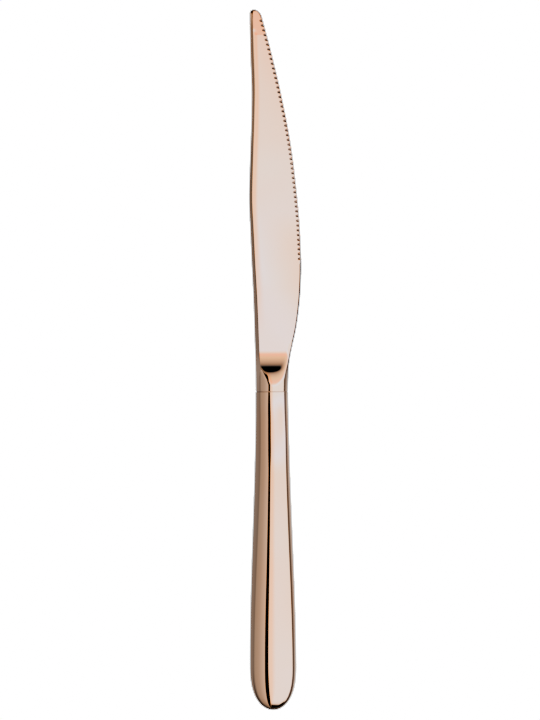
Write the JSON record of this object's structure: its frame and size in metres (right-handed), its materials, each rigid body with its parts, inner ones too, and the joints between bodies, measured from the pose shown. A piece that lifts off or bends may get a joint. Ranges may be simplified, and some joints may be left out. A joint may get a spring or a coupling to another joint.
{
  "type": "table knife",
  "caption": "Serrated table knife: slim blade with a rounded tip and fine grooves along the edge, a ramped bolster and a smooth hollow handle that widens to a rounded butt.",
  "frame": {"origin": "on the handle's axis where the blade's shoulder meets the handle, on the plane that parts the two shells", "axes": "+Y along the knife towards the tip, +X towards the cutting edge, +Z out of the front face, which is the one with the grooves"},
  "size_m": [0.0178, 0.2352, 0.0092],
  "materials": {
    "blade_steel": "stainless steel, mirror-polished, with a rose-copper coating",
    "shell_steel": "stainless steel sheet, mirror-polished, with a rose-copper coating",
    "weld": "weld ground flush and polished with the shells",
    "solder": "hard solder under the same coating, in the recessed seam",
    "cement": "pale grey filling cement, sealed inside"
  },
  "bodies": {
    "root": {"blade": "blade_steel", "handle_shell_front": "shell_steel", "handle_shell_back": "shell_steel", "seam_weld": "weld", "solder_ring": "solder", "cement_filling": "cement"}
  },
  "joints": []
}
